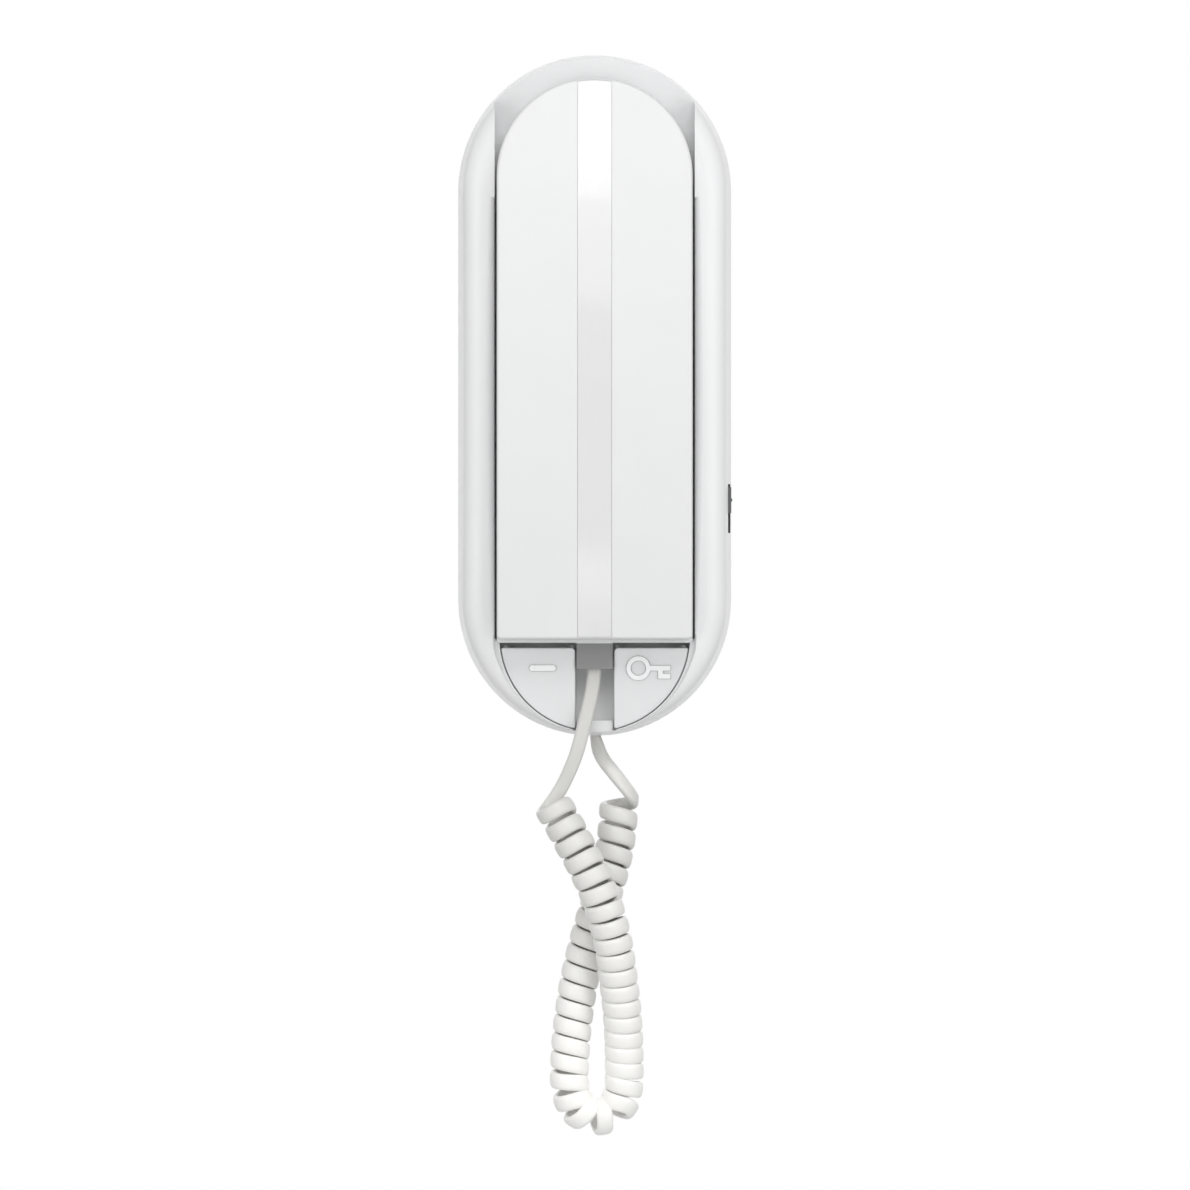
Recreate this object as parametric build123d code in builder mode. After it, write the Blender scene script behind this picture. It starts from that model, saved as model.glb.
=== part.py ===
from build123d import *

import os
from math import cos, pi, radians, sin, sqrt, tan

# Wall-mounted audio intercom handset on its base, joined by a curly cord.
# X is to the viewer's right, Z is up, the wall is the plane Y = 0 and the viewer is at -Y.
# A depth is a distance from the wall towards the viewer: a point of that depth has Y = -depth.

# Shared small sizes
overrun = 5.0              # how far a cutter runs past what it cuts
loose_gap = 0.3            # clearance between loose neighbours
running_gap = 0.06         # radial clearance of a pin or a plunger in its bore
skin = 2.2                 # moulded wall of the base
edge_round = 0.6           # small moulded edge
driver_slot = 0.6          # width of the slot in a screw head

# Base
base_width = 82.0
base_height = 204.4
rear_base_depth = 10.0
rear_base_inset = 0.6
cover_draft = 5.5          # degrees, flanks of the front cover
cover_round = 6.0
crest_depth = 33.0         # cheeks, at mid height
crest_top_depth = 27.0
crest_bottom_depth = 26.0

# Channel that takes the handset, and the well of the keys at its lower end
channel_half = 30.0
channel_floor = 16.0
channel_ramp_start = 84.0
channel_ramp_depth = 22.0
channel_ramp_round = 25.0
well_radius = 30.5         # lower end of the channel, round the keys
well_centre_z = -70.6
flank_top = 58.0           # where the scooped inner flanks of the cheeks begin
flank_depth = 28.4
flank_angle = 28.0

# Handset
handset_half = 29.3
handset_centre_z = 65.5
handset_bottom = -73.05
handset_corner = 1.2
handset_skin = 2.0
handset_front_mid = 45.5
handset_front_top = 41.0
handset_front_bottom = 42.0
handset_front_mid_z = 10.0
parting_depth = 31.0
parting_gap = 0.25
rest_depth = 17.5          # flat ear and mouth faces
grip_depth = 25.0
ear_face_low = 56.0
ear_face_high = 87.0
grip_high = 44.0
grip_low = -28.0
mouth_face_high = -41.0
rear_end_depth = 24.0
rear_lip = 1.15            # rear shell stands this far below the front shell
rear_round = 4.0
front_edge_round = 0.9
strip_width = 10.2
strip_thickness = 1.0
strip_recess = 0.3

# Cord outlet of the handset
tongue_half = 5.4
tongue_bottom = -82.1
tongue_rear = 20.0
tongue_front = 27.0
plug_half = 3.85
plug_thickness = 5.0
plug_length = 13.5
plug_gap = 0.12
handset_exit_depth = 23.5
base_exit_depth = 8.5
socket_wall = 1.2
socket_back = 1.5
plug_setback = 0.4         # plug face above the mouth of the outlet
base_plug_setback = 1.0

# Keys
key_radius = 28.3
key_centre_z = -72.3
key_top = -75.75
key_inner = 5.8
key_inner_round = 1.3
key_rear = 18.5
key_face_top = 26.5
key_face_mid = 24.4
key_face_bottom = 20.4
key_wall = 1.6
key_edge_round = 0.5
key_arm_x = 15.0           # stem and hinge of each key, from the middle
key_stem_z = -88.0
key_stem = 4.0
key_window = 6.4
hinge_pin_radius = 1.0
hinge_depth = 20.4
bracket_radius = 1.8
bracket_width = 5.0
symbol_relief = 0.45
symbol_z = -81.8
dash_x = -15.6
dash_length = 8.0
dash_width = 1.7
ring_x = 13.1
ring_outer = 3.6
ring_inner = 2.3
shaft_end_x = 22.7
shaft_width = 1.4
tooth_x = 19.0
tooth_z = -84.2
lug_inner_x = 6.3
lug_outer_x = 26.2
lug_width = 1.0
lug_height = 0.8
lug_near = 20.0
lug_far = 22.0
spine_half = 5.4           # bare panel between the keys
spine_top = -82.4
spine_bottom = -97.6
spine_recess = 1.0
spine_tab_far = 18.5
ledge_half = 14.0          # ledge that stops the handset from sliding down
ledge_low = 45.5
ledge_high = 52.5

# Circuit board and what stands on it
board_rear = 6.4
board_thickness = 1.6
board_setback = 5.0        # edge of the board in from the side of the base
board_half = base_width / 2 - board_setback
board_top = -21.0
board_notch_half = 7.5
board_notch_top = -85.5
tact_size = 6.0
tact_height = 3.5
tact_plunger_radius = 1.7
tact_plunger_out = 1.5
tact_seat = 1.2
tact_bore = 2.2
hook_x = 14.0
hook_z = -56.0
hook_radius = 2.5
hook_flange = 4.0
hook_flange_thickness = 1.0
hook_stroke = 2.2
leaf_thickness = 0.4
leaf_width = 3.0
switch_length = 12.0
switch_width = 6.0
switch_height = 4.0
terminal_length = 20.0
terminal_width = 8.0
terminal_height = 5.4
terminal_x = -16.0
terminal_z = -30.0
terminal_count = 4
jumper_x = 14.0
jumper_z = -30.0
jumper_pitch = 2.54
jumper_count = 4
jumper_pin = 0.64
jumper_height = 5.0

# Volume switch in the right flank
slot_top = -26.6
slot_bottom = -41.3
slot_near = 12.5
slot_far = 20.5
slot_wall = 4.0            # how far in from the outline the slot is cut
knob_length = 7.8
knob_top = -27.5
knob_reach = base_width / 2    # the knob is flush with the flank, but for its ridge
knob_travel = 4.2
knob_side_gap = 0.5
knob_ridge = 0.3
knob_ridge_width = 0.9
knob_head = 3.8
knob_arm_depth = 14.0
knob_arm_thickness = 2.0
knob_arm_width = 4.0
knob_foot_setback = 8.0
knob_foot_x = knob_reach - knob_foot_setback
knob_foot = 1.6
knob_foot_width = 2.4
volume_setback = 5.6
volume_width = 9.4
volume_outer_x = knob_reach - volume_setback
volume_inner_x = volume_outer_x - volume_width
volume_height = 5.5
volume_groove = 2.0
volume_end = 4.0

# Rear base details
window_half = 12.0
window_top = 12.0
window_bottom = -10.0
screw_spacing = 60.0
screw_slot_length = 8.0
screw_slot_width = 4.2
post_radius = 3.4
post_upper_z = 62.0
post_lower_z = -15.8
cover_screw_head = 2.9
cover_screw_radius = 1.4
cover_screw_head_height = 1.4
cover_screw_seat = 1.0
cover_screw_length = 9.0
standoff_low_z = -72.0
standoff_radius = 2.6
standoff_peg = 0.95
ringer_z = 38.0
ringer_radius = 13.5
ringer_height = 5.5
ringer_wall = 1.6
sound_slot_length = 16.0
sound_slot_width = 1.4
sound_slot_pitch = 3.2
sound_slot_count = 5

# Handset insides
ear_z = 71.5
ear_radius = 13.0
ear_height = 6.0
ear_magnet_radius = 8.0
ear_magnet_height = 2.4
gasket_height = 1.0
gasket_width = 2.5
cup_wall = 1.4
cup_height = 4.0
ear_hole_radius = 0.8
mouth_z = -52.0
mic_radius = 4.85
mic_height = 6.5
boot_wall = 1.5
boot_height = 5.5
ballast_half = 9.0
ballast_top = 34.0
ballast_bottom = -18.0
ballast_thickness = 6.0
handset_screw_x = 20.5
handset_screw_z = -62.0
handset_boss_radius = 3.2
handset_screw_head = 2.5
handset_screw_radius = 1.2
handset_screw_seat = 1.6
pad_x = 11.0
pad_length = 7.0
pad_width = 3.0
ear_pad_z = 76.5
pad_height = 1.2
mouth_pad_z = -67.0

# Cord: the plain runs and the curls have one round section of the flat cord's area
cord_diameter = 3.8
curl_outer = 11.8
curl_count = 35.5
curl_first_angle = 90.0    # degrees, where the curls begin: from their right side towards the wall
samples_per_span = 60
arcs_per_turn = 4

# Pitch of the curls along the axis: places as shares of its length, pitches as shares of the mean
curl_pitch_shares = [
    (0.0, 3.4), (0.012, 2.2), (0.03, 1.05), (0.14, 1.0), (0.3, 0.88), (0.42, 0.9), (0.46, 1.9), (0.57, 1.9),
    (0.61, 0.97), (0.9, 0.95), (0.95, 1.2), (0.98, 2.2), (1.0, 3.2)
]

# Routes as (x, depth, z), chosen by hand: lead from the handset, axis of the curls, lead to the base
handset_lead_route = [
    (0.0, 23.5, -81.7), (0.0, 23.7, -86.5), (-1.3, 24.4, -93.0), (-3.1, 24.4, -100.4), (-4.9, 23.3, -107.6)
]
curl_axis_route = [
    (-12.3, 24.8, -119.6), (-11.9, 25.0, -124.0), (-10.4, 25.2, -128.5), (-6.9, 25.6, -133.9),
    (-3.0, 25.9, -140.0), (0.4, 25.8, -147.0), (3.4, 24.8, -155.0), (5.7, 22.2, -164.5), (7.2, 18.6, -175.5),
    (8.5, 14.6, -187.0), (8.9, 10.9, -198.5), (8.9, 8.6, -210.4), (4.3, 7.6, -216.4), (-2.9, 7.2, -216.4),
    (-7.6, 7.1, -210.4), (-7.6, 7.1, -199.5), (-6.6, 7.3, -187.5), (-4.6, 7.8, -175.0), (-1.6, 8.4, -162.5),
    (2.4, 9.0, -150.0), (6.2, 9.2, -139.5), (7.9, 8.8, -129.8), (8.4, 8.1, -121.5), (7.5, 7.5, -114.5)
]
base_lead_route = [(0.0, 8.5, -101.2), (0.0, 8.5, -105.0)]
lead_end_run = 4.5         # straight end of each lead before the curls


def at_depth(depth):
    """Plane parallel to the wall, seen by the viewer; its local x and y are X and Z."""
    return Plane.XZ.offset(depth)


def slab(outline, near, far, draft=0.0):
    """Outline in X and Z, between two depths."""
    with BuildPart() as made:
        with BuildSketch(at_depth(near)):
            add(outline)
        extrude(amount=far - near, taper=draft)
    return made.part


def shaped_slab(outline, side, near, far, draft=0.0):
    """Outline in X and Z, cut to a side profile that is drawn in Y and Z."""
    with BuildPart() as made:
        add(slab(outline, near, far, draft))
        with BuildSketch(Plane.YZ):
            add(side)
        extrude(amount=base_width, both=True, mode=Mode.INTERSECT)
    return made.part


def block(x_low, x_high, z_low, z_high, near, far):
    """Plain block between two depths."""
    with BuildSketch() as outline:
        with Locations(((x_low + x_high) / 2, (z_low + z_high) / 2)):
            Rectangle(x_high - x_low, z_high - z_low)
    return slab(outline.sketch, near, far)


def disc(x, z, radius, near, far):
    """Plain disc between two depths."""
    with BuildSketch() as outline:
        with Locations((x, z)):
            Circle(radius)
    return slab(outline.sketch, near, far)


def stadium(inset):
    """Outline of the base."""
    with BuildSketch() as outline:
        SlotOverall(base_height - 2 * inset, base_width - 2 * inset, rotation=90)
    return outline.sketch


def grown(sketch, amount):
    """Sketch offset outwards, or inwards for a negative amount, with sharp corners kept."""
    if amount == 0:
        return sketch
    with BuildSketch() as made:
        add(sketch)
        offset(amount=amount, kind=Kind.INTERSECTION)
    return made.sketch


# Outlines and side profiles
base_top = base_height / 2
base_end_z = base_top - base_width / 2
cover_rear = rear_base_depth + loose_gap
beyond = base_top + overrun
far_depth = handset_front_mid + overrun


def cover_side():
    """Side profile of the cover: the crest falls towards both ends."""
    with BuildSketch() as side:
        with BuildLine():
            ThreePointArc((-crest_top_depth, base_top), (-crest_depth, 0), (-crest_bottom_depth, -base_top))
            Polyline(
                (-crest_bottom_depth, -base_top),
                (-crest_bottom_depth, -beyond),
                (0, -beyond),
                (0, beyond),
                (-crest_top_depth, beyond),
                (-crest_top_depth, base_top),
            )
        make_face()
    return side.sketch


def channel_outline(top):
    """The channel for the handset, closed below by the round well of the keys."""
    well_top = well_centre_z - sqrt(well_radius**2 - channel_half**2)
    with BuildSketch() as outline:
        with BuildLine():
            Polyline(
                (-channel_half, well_top),
                (-channel_half, top),
                (channel_half, top),
                (channel_half, well_top),
            )
            ThreePointArc(
                (channel_half, well_top),
                (0, well_centre_z - well_radius),
                (-channel_half, well_top),
            )
        make_face()
    return outline.sketch


def channel_side():
    """Side profile of the channel: a flat floor that rises to the top end of the base."""
    with BuildSketch() as side:
        with BuildLine():
            FilletPolyline(
                (-channel_floor, -beyond),
                (-channel_floor, channel_ramp_start),
                (-channel_ramp_depth, base_top),
                radius=channel_ramp_round,
            )
            Polyline(
                (-channel_ramp_depth, base_top),
                (-channel_ramp_depth, beyond),
                (-far_depth, beyond),
                (-far_depth, -beyond),
                (-channel_floor, -beyond),
            )
        make_face()
    return side.sketch


def handset_outline(lip):
    """Front view of the handset; the rear shell has a lip below the front one."""
    low = handset_bottom - lip
    with BuildSketch() as outline:
        with BuildLine():
            Polyline(
                (-handset_half, handset_centre_z),
                (-handset_half, low),
                (handset_half, low),
                (handset_half, handset_centre_z),
            )
            ThreePointArc(
                (handset_half, handset_centre_z),
                (0, handset_centre_z + handset_half),
                (-handset_half, handset_centre_z),
            )
        make_face()
        fillet(outline.vertices().group_by(Axis.Y)[0], handset_corner)
    return outline.sketch


handset_top = handset_centre_z + handset_half


def handset_front_side():
    """Side profile of the front shell: an arched face."""
    with BuildSketch() as side:
        with BuildLine():
            ThreePointArc(
                (-handset_front_top, handset_top),
                (-handset_front_mid, handset_front_mid_z),
                (-handset_front_bottom, handset_bottom),
            )
            Polyline(
                (-handset_front_bottom, handset_bottom),
                (-handset_front_bottom, handset_bottom - overrun),
                (0, handset_bottom - overrun),
                (0, beyond),
                (-handset_front_top, beyond),
                (-handset_front_top, handset_top),
            )
        make_face()
    return side.sketch


def handset_rear_side():
    """Side profile of the rear shell: flat ear and mouth faces with the grip between them."""
    low = handset_bottom - rear_lip - overrun
    with BuildSketch() as side:
        with BuildLine():
            FilletPolyline(
                (-rear_end_depth, beyond),
                (-rear_end_depth, handset_top),
                (-rest_depth, ear_face_high),
                (-rest_depth, ear_face_low),
                (-grip_depth, grip_high),
                (-grip_depth, grip_low),
                (-rest_depth, mouth_face_high),
                (-rest_depth, low),
                radius=[rear_round, rear_round, rear_round, rear_round * 2, rear_round * 2, rear_round],
            )
            Polyline((-rest_depth, low), (-far_depth, low), (-far_depth, beyond), (-rear_end_depth, beyond))
        make_face()
    return side.sketch


# Rear base
floor_top = skin
floor_under = channel_floor - skin
rim_inner_bottom = -base_top + rear_base_inset + skin
base_plug_bottom = -base_top + base_plug_setback
outlet_half = plug_half + loose_gap
outlet_far = base_exit_depth + plug_thickness / 2 + loose_gap
board_front = board_rear + board_thickness
standoffs = [
    (side * (board_half - 2 * standoff_radius), z)
    for side in (-1, 1)
    for z in (board_top - 2 * standoff_radius, standoff_low_z)
]

with BuildPart() as rear_base:
    add(slab(stadium(rear_base_inset), 0, rear_base_depth))
    add(slab(stadium(rear_base_inset + skin), floor_top, rear_base_depth + overrun), mode=Mode.SUBTRACT)
    # Posts that carry the front cover
    for z in (post_upper_z, post_lower_z):
        add(disc(0, z, post_radius, floor_top / 2, floor_under))
        add(disc(0, z, cover_screw_radius + running_gap, floor_top, channel_floor), mode=Mode.SUBTRACT)
    # Standoffs with pegs for the board
    for x, z in standoffs:
        add(disc(x, z, standoff_radius, floor_top / 2, board_rear))
        add(disc(x, z, standoff_peg, board_rear - floor_top, board_front))
    # Ring that holds the ringer
    add(
        disc(0, ringer_z, ringer_radius + running_gap + ringer_wall,
             floor_top / 2, floor_top + ringer_height / 2)
    )
    add(
        disc(0, ringer_z, ringer_radius + running_gap, floor_top, floor_top + ringer_height),
        mode=Mode.SUBTRACT,
    )
    # Window for the riser cable and slots for the wall screws
    add(block(-window_half, window_half, window_bottom, window_top, -overrun, overrun), mode=Mode.SUBTRACT)
    with BuildSketch(at_depth(-overrun)):
        with Locations((-screw_spacing / 2, 0), (screw_spacing / 2, 0)):
            SlotOverall(screw_slot_length, screw_slot_width)
    extrude(amount=2 * overrun, mode=Mode.SUBTRACT)
    # Outlet of the base cord through the lower rim
    outlet_near = base_exit_depth - plug_thickness / 2 - loose_gap
    add(
        block(-outlet_half, outlet_half, -beyond, rim_inner_bottom + loose_gap,
              outlet_near, rear_base_depth + overrun),
        mode=Mode.SUBTRACT,
    )

# Front cover
hinge_z = key_top - key_wall - loose_gap - bracket_radius
rest_gap_depth = rest_depth - loose_gap


def cover_form(inset):
    """Outer form of the cover, or the space inside its wall, with rounded front edges."""
    with BuildPart() as form:
        add(
            shaped_slab(stadium(inset), grown(cover_side(), -inset),
                        cover_rear, crest_depth + overrun, cover_draft)
        )
        front_edges = form.edges().filter_by(lambda e: e.center().Y < -(crest_bottom_depth - cover_round))
        fillet(front_edges, cover_round - inset)
    return form.part


def hinge_line(radius, middle_x, width):
    """Round bar on the hinge axis of the keys."""
    with BuildPart() as bar:
        with BuildSketch(Plane.YZ.offset(middle_x)):
            with Locations((-hinge_depth, hinge_z)):
                Circle(radius)
        extrude(amount=width / 2, both=True)
    return bar.part


with BuildPart() as cover_space:
    add(cover_form(skin))
    add(slab(stadium(skin), cover_rear - overrun, cover_rear))
    add(
        shaped_slab(grown(channel_outline(beyond), skin), grown(channel_side(), skin), 0, far_depth),
        mode=Mode.SUBTRACT,
    )

with BuildPart() as front_cover:
    add(cover_form(0))
    add(shaped_slab(channel_outline(beyond), channel_side(), 0, far_depth), mode=Mode.SUBTRACT)
    add(cover_space.part, mode=Mode.SUBTRACT)
    # Scooped inner flanks of the cheeks
    add(slab(channel_outline(flank_top), flank_depth, far_depth, -flank_angle), mode=Mode.SUBTRACT)
    # Bare panel between the keys, with a tab below it
    add(
        block(-spine_half, spine_half, spine_bottom, spine_top,
              channel_floor - spine_recess, channel_floor + overrun),
        mode=Mode.SUBTRACT,
    )
    add(
        block(-spine_half, spine_half, well_centre_z - well_radius, spine_bottom, floor_under, spine_tab_far)
    )
    # Rest pads, and the ledge under the ear end of the handset
    for x in (-pad_x, pad_x):
        for z in (ear_pad_z, mouth_pad_z):
            add(block(x - pad_length / 2, x + pad_length / 2, z - pad_width / 2, z + pad_width / 2,
                      floor_under, rest_gap_depth))
    with BuildSketch(Plane.YZ):
        with Locations((-(channel_floor + grip_depth) / 2, (ledge_low + ledge_high) / 2)):
            Rectangle(grip_depth - channel_floor + skin, ledge_high - ledge_low)
        add(grown(handset_rear_side(), loose_gap), mode=Mode.SUBTRACT)
    extrude(amount=ledge_half, both=True)
    # Hinge brackets and windows of the keys
    for side in (-1, 1):
        add(block(side * key_arm_x - bracket_width / 2, side * key_arm_x + bracket_width / 2,
                  hinge_z - bracket_radius, hinge_z + bracket_radius,
                  floor_under, hinge_depth + bracket_radius))
        add(block(side * key_arm_x - key_window / 2, side * key_arm_x + key_window / 2,
                  key_stem_z - key_window / 2, key_stem_z + key_window / 2, 0, channel_floor + overrun),
            mode=Mode.SUBTRACT)
        add(hinge_line(hinge_pin_radius + running_gap, side * key_arm_x, bracket_width), mode=Mode.SUBTRACT)
    # Hole of the hook plunger, holes of the cover screws
    add(disc(hook_x, hook_z, hook_radius + running_gap, 0, rest_gap_depth), mode=Mode.SUBTRACT)
    for z in (post_upper_z, post_lower_z):
        add(disc(0, z, cover_screw_radius + running_gap, 0, far_depth), mode=Mode.SUBTRACT)
        add(
            disc(0, z, cover_screw_head + loose_gap, channel_floor - cover_screw_seat, far_depth),
            mode=Mode.SUBTRACT,
        )
    # Sound slots over the ringer
    with BuildSketch(at_depth(0)):
        with Locations((0, ringer_z)):
            with GridLocations(0, sound_slot_pitch, 1, sound_slot_count):
                SlotOverall(sound_slot_length, sound_slot_width)
    extrude(amount=channel_floor + overrun, mode=Mode.SUBTRACT)
    # Slot of the volume knob in the right flank, outlet of the base cord
    add(
        block(knob_reach - slot_wall, base_width, slot_bottom, slot_top, slot_near, slot_far),
        mode=Mode.SUBTRACT,
    )
    add(
        block(-outlet_half, outlet_half, -beyond, rim_inner_bottom + loose_gap,
              cover_rear - overrun, outlet_far),
        mode=Mode.SUBTRACT,
    )

# Circuit board
with BuildPart() as circuit_board:
    with BuildSketch(at_depth(board_rear)) as board_outline:
        with Locations((0, -base_end_z)):
            Circle(board_half)
        with Locations((0, (board_top - base_end_z) / 2)):
            Rectangle(2 * board_half, board_top + base_end_z)
        with Locations((0, (board_notch_top - beyond) / 2)):
            Rectangle(2 * board_notch_half, board_notch_top + beyond, mode=Mode.SUBTRACT)
        with Locations(*standoffs):
            Circle(standoff_peg + running_gap, mode=Mode.SUBTRACT)
        with Locations((0, (board_top + board_top + beyond) / 2)):
            Rectangle(2 * base_width, beyond, mode=Mode.SUBTRACT)
    extrude(amount=board_thickness)

# Terminal block with a wire hole and a screw for each wire
terminal_far = board_front + terminal_height
with BuildPart() as terminal_block:
    add(block(terminal_x - terminal_length / 2, terminal_x + terminal_length / 2,
              terminal_z - terminal_width / 2, terminal_z + terminal_width / 2, board_front, terminal_far))
    with BuildSketch(at_depth(board_front + terminal_height / 2)):
        with Locations((terminal_x, terminal_z)):
            with GridLocations(terminal_length / terminal_count, 0, terminal_count, 1):
                Circle(terminal_width / 5 + running_gap)
    extrude(amount=terminal_height, mode=Mode.SUBTRACT)
    with BuildSketch(Plane.XY.offset(terminal_z)):
        with Locations((terminal_x, -(board_front + terminal_height / 4))):
            with GridLocations(terminal_length / terminal_count, 0, terminal_count, 1):
                Circle(terminal_height / 5)
    extrude(amount=terminal_width, mode=Mode.SUBTRACT)

with BuildPart() as terminal_screws:
    with BuildSketch(at_depth(board_front + terminal_height / 2)):
        with Locations((terminal_x, terminal_z)):
            with GridLocations(terminal_length / terminal_count, 0, terminal_count, 1):
                Circle(terminal_width / 5)
    extrude(amount=terminal_height * 2 / 5)
    with BuildSketch(at_depth(terminal_far - terminal_height / 5)):
        with Locations((terminal_x, terminal_z)):
            with GridLocations(terminal_length / terminal_count, 0, terminal_count, 1):
                Rectangle(terminal_width, terminal_width / 10)
    extrude(amount=terminal_height, mode=Mode.SUBTRACT)

# Header with the configuration jumpers
with BuildPart() as jumper_header:
    add(block(jumper_x - jumper_pitch * jumper_count / 2, jumper_x + jumper_pitch * jumper_count / 2,
              jumper_z - jumper_pitch, jumper_z + jumper_pitch, board_front, board_front + jumper_pitch))
    with BuildSketch(at_depth(board_front + jumper_pitch / 2)):
        with Locations((jumper_x, jumper_z)):
            with GridLocations(jumper_pitch, jumper_pitch, jumper_count, 2):
                Rectangle(jumper_pin, jumper_pin)
    extrude(amount=jumper_height - jumper_pitch / 2)

# Ringer
with BuildPart() as ringer_speaker:
    add(disc(0, ringer_z, ringer_radius, floor_top, floor_top + ringer_height))
    add(
        disc(0, ringer_z, ringer_radius * 3 / 4, floor_top + ringer_height * 4 / 5, far_depth),
        mode=Mode.SUBTRACT,
    )
    add(disc(0, ringer_z, ringer_radius / 3, floor_top + ringer_height / 2, floor_top + ringer_height))

# Hook switch: body, plunger and leaf spring
hook_tip = rest_gap_depth
flange_far = floor_under - loose_gap - hook_stroke
flange_near = flange_far - hook_flange_thickness
switch_right = hook_x - hook_flange - 2 * loose_gap
with BuildPart() as hook_switch:
    add(block(switch_right - switch_length, switch_right,
              hook_z - switch_width / 2, hook_z + switch_width / 2, board_front, board_front + switch_height))

with BuildPart() as hook_plunger:
    add(disc(hook_x, hook_z, hook_radius, flange_near, hook_tip))
    fillet(hook_plunger.edges().sort_by(Axis.Y)[0], hook_radius / 2)
    add(disc(hook_x, hook_z, hook_flange, flange_near, flange_far))

with BuildPart() as hook_leaf:
    add(block(switch_right, hook_x + hook_radius, hook_z - leaf_width / 2, hook_z + leaf_width / 2,
              flange_near - leaf_thickness, flange_near))


# Keys
def key_side():
    """Side profile of a key: a face that falls back towards the lower end."""
    low = key_centre_z - key_radius
    with BuildSketch() as profile:
        with BuildLine():
            ThreePointArc(
                (-key_face_top, key_top), (-key_face_mid, (key_top + low) / 2), (-key_face_bottom, low)
            )
            Polyline(
                (-key_face_bottom, low),
                (-key_face_bottom, -beyond - overrun),
                (0, -beyond - overrun),
                (0, 0),
                (-key_face_top, 0),
                (-key_face_top, key_top),
            )
        make_face()
    return profile.sketch


def key_outline(side, inset):
    """Front view of a key: a quarter of the well, less the panel between the keys."""
    with BuildSketch() as outline:
        with Locations((0, key_centre_z)):
            Circle(key_radius - inset)
        width = key_radius - key_inner
        height = key_radius
        with Locations((side * (key_inner + inset + width / 2), key_top - inset - height / 2)):
            Rectangle(width, height, mode=Mode.INTERSECT)
        corners = outline.vertices().sort_by_distance((side * key_inner, key_top))
        fillet(corners[0], max(key_inner_round - inset, edge_round))
        fillet(outline.vertices().sort_by(Axis.Y)[0], edge_round)
    return outline.sketch


def symbol_outline(side):
    """Raised sign on a key: a dash on the left, a door key on the right."""
    with BuildSketch() as sign:
        if side < 0:
            with Locations((dash_x, symbol_z)):
                SlotOverall(dash_length, dash_width)
        else:
            with Locations(((ring_x + shaft_end_x) / 2, symbol_z)):
                Rectangle(shaft_end_x - ring_x, shaft_width)
            with Locations(((tooth_x + shaft_end_x) / 2, tooth_z)):
                Rectangle(shaft_end_x - tooth_x, shaft_width)
            with Locations((tooth_x + shaft_width / 2, (symbol_z + tooth_z) / 2)):
                Rectangle(shaft_width, symbol_z - tooth_z)
            with Locations((ring_x, symbol_z)):
                Circle(ring_outer)
                Circle(ring_inner, mode=Mode.SUBTRACT)
    return sign.sketch


def key(side):
    """Hollow key with its hinge pin, stem, lugs and raised sign."""
    stem_x = side * key_arm_x
    stem_near = board_front + tact_height + tact_plunger_out + loose_gap
    with BuildPart() as made:
        add(shaped_slab(key_outline(side, 0), key_side(), key_rear, far_depth))
        front = made.edges().filter_by(lambda e: e.center().Y < -(key_rear + key_wall / 2))
        fillet(front.filter_by(lambda e: e.length > key_wall * 4), key_edge_round)
        hollow = shaped_slab(key_outline(side, key_wall), grown(key_side(), -key_wall), 0, far_depth)
        add(hollow, mode=Mode.SUBTRACT)
        with BuildSketch() as stem_outline:
            with Locations((stem_x, key_stem_z)):
                Rectangle(key_stem, key_stem)
        add(shaped_slab(stem_outline.sketch, grown(key_side(), -key_wall / 2), stem_near, far_depth))
        pin = hinge_line(hinge_pin_radius, side * base_width / 4, base_width / 2)
        add(pin & slab(key_outline(side, key_wall / 2), 0, far_depth))
        for x in (lug_inner_x, lug_outer_x):
            lug_x = side * (x + lug_width / 2)
            add(block(lug_x - lug_width / 2, lug_x + lug_width / 2,
                      key_top - key_wall / 2, key_top + lug_height, lug_near, lug_far))
        sign = symbol_outline(side)
        relief = shaped_slab(sign, grown(key_side(), symbol_relief), key_rear, far_depth)
        add(relief - shaped_slab(sign, grown(key_side(), -key_wall / 2), key_rear, far_depth))
    return made.part


def tact_body(side):
    """Small push switch on the board, with the bore of its plunger."""
    x = side * key_arm_x
    half = tact_size / 2
    with BuildPart() as made:
        add(
            block(x - half, x + half, key_stem_z - half, key_stem_z + half,
                  board_front, board_front + tact_height)
        )
        add(
            disc(x, key_stem_z, tact_plunger_radius + running_gap,
                 board_front + tact_height - tact_bore, far_depth),
            mode=Mode.SUBTRACT,
        )
    return made.part


def tact_plunger(side):
    """Plunger of the push switch."""
    near = board_front + tact_height - tact_seat
    far = board_front + tact_height + tact_plunger_out
    return disc(side * key_arm_x, key_stem_z, tact_plunger_radius, near, far)


with BuildPart() as light_button:
    add(key(-1))
with BuildPart() as door_button:
    add(key(1))
with BuildPart() as light_tact_switch:
    add(tact_body(-1))
with BuildPart() as door_tact_switch:
    add(tact_body(1))
with BuildPart() as light_tact_plunger:
    add(tact_plunger(-1))
with BuildPart() as door_tact_plunger:
    add(tact_plunger(1))

# Volume switch and its knob
knob_middle = knob_top - knob_length / 2
knob_inner_x = knob_reach - knob_head
volume_far = board_front + volume_height
with BuildPart() as volume_switch:
    groove_high = knob_middle + knob_foot_width / 2 + loose_gap
    groove_low = knob_middle - knob_foot_width / 2 - knob_travel - loose_gap
    add(block(volume_inner_x, volume_outer_x, groove_low - volume_end, groove_high + volume_end,
              board_front, volume_far))
    add(block(knob_foot_x - loose_gap, knob_foot_x + knob_foot + loose_gap, groove_low, groove_high,
              volume_far - volume_groove, far_depth), mode=Mode.SUBTRACT)

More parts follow.
